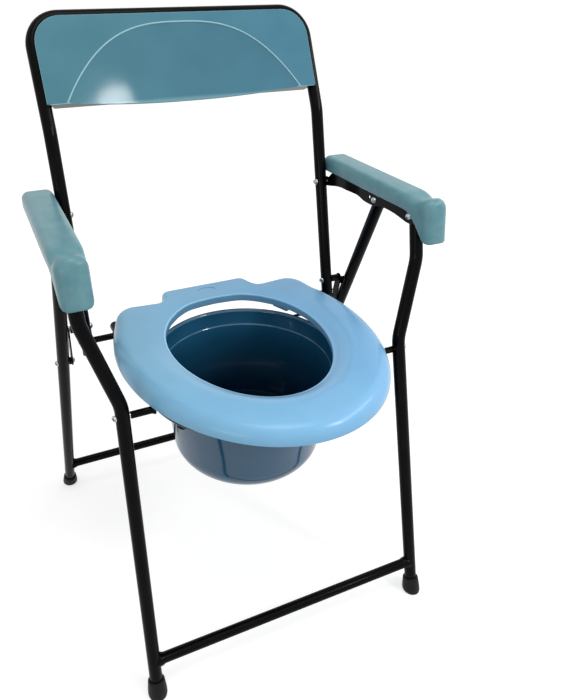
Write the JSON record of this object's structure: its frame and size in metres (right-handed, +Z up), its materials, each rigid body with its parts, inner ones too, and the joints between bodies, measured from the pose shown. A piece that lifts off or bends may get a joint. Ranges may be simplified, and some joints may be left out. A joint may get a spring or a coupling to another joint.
{
  "type": "folding commode chair",
  "caption": "Folding commode chair: bent black tube frame, linked armrests, moulded oval seat with a hole, a round pan on wire rails below it and a low back panel.",
  "frame": {"origin": "on the floor, under the middle of the open chair's bounding box", "axes": "+Z up, -Y the way a sitting person faces, +X to the chair's own left, which is right in the picture"},
  "size_m": [0.5584, 0.5705, 0.8828],
  "materials": {
    "black_frame": "gloss black powder coat",
    "zinc_fasteners": "bright zinc plate",
    "foot_rubber": "matt black moulded rubber",
    "black_caps": "satin black moulded plastic",
    "armrest_plastic": "fine grained teal moulded plastic",
    "panel_plastic": "gloss teal moulded plastic",
    "seat_plastic": "satin sky blue moulded plastic",
    "pan_plastic": "gloss slate blue moulded plastic"
  },
  "bodies": {
    "front_frame": {"front_leg_left": "black_frame", "front_leg_right": "black_frame", "front_cross_bar": "black_frame", "front_feet": "foot_rubber"},
    "arms": {"arm_bracket_left": "black_frame", "arm_bracket_right": "black_frame", "armrest_left": "armrest_plastic", "armrest_right": "armrest_plastic", "arm_bolts": "zinc_fasteners"},
    "rear_frame": {"rear_leg_left": "black_frame", "rear_leg_right": "black_frame", "rear_cross_bar": "black_frame", "rear_feet": "foot_rubber", "link_bolts": "zinc_fasteners"},
    "links": {"link_left": "black_frame", "link_right": "black_frame"},
    "back_frame": {"back_tube": "black_frame", "back_panel": "panel_plastic", "back_bolts": "zinc_fasteners", "link_studs": "zinc_fasteners", "back_plugs": "black_caps"},
    "seat_frame": {"seat_hoop": "black_frame", "hoop_caps": "black_caps", "pivot_rods": "black_frame", "pivot_screws": "zinc_fasteners", "pan_rails": "black_frame", "seat": "seat_plastic"},
    "pan": {"pan": "pan_plastic"}
  },
  "joints": [
    {"name": "fold", "type": "hinge", "parent": "front_frame", "child": "arms", "pos_m": [0, -0.08457, 0.6194], "axis": [-1, 0, 0], "range_deg": [0, 90]},
    {"name": "rear_leg_turn", "type": "hinge", "parent": "arms", "child": "rear_frame", "pos_m": [0, 0.00034, 0.6194], "axis": [1, 0, 0], "range_deg": [0, 52]},
    {"name": "link_turn", "type": "hinge", "parent": "rear_frame", "child": "links", "pos_m": [0, 0.09885, 0.3929], "axis": [-1, 0, 0], "range_deg": [0, 125]},
    {"name": "back_turn", "type": "hinge", "parent": "arms", "child": "back_frame", "pos_m": [0, 0.12604, 0.6194], "axis": [1, 0, 0], "range_deg": [0, 91]},
    {"name": "seat_turn", "type": "hinge", "parent": "front_frame", "child": "seat_frame", "pos_m": [0, -0.12969, 0.43144], "axis": [-1, 0, 0], "range_deg": [0, 91]},
    {"name": "pan_slide", "type": "slide", "parent": "seat_frame", "child": "pan", "axis": [0, 1, 0], "range_m": [0, 0.085]}
  ],
  "couplings": [
    {"joint": "rear_leg_turn", "follows": "fold", "ratio": 0.55438},
    {"joint": "link_turn", "follows": "fold", "ratio": 1.3534},
    {"joint": "back_turn", "follows": "fold", "ratio": 1},
    {"joint": "seat_turn", "follows": "fold", "ratio": 1}
  ]
}
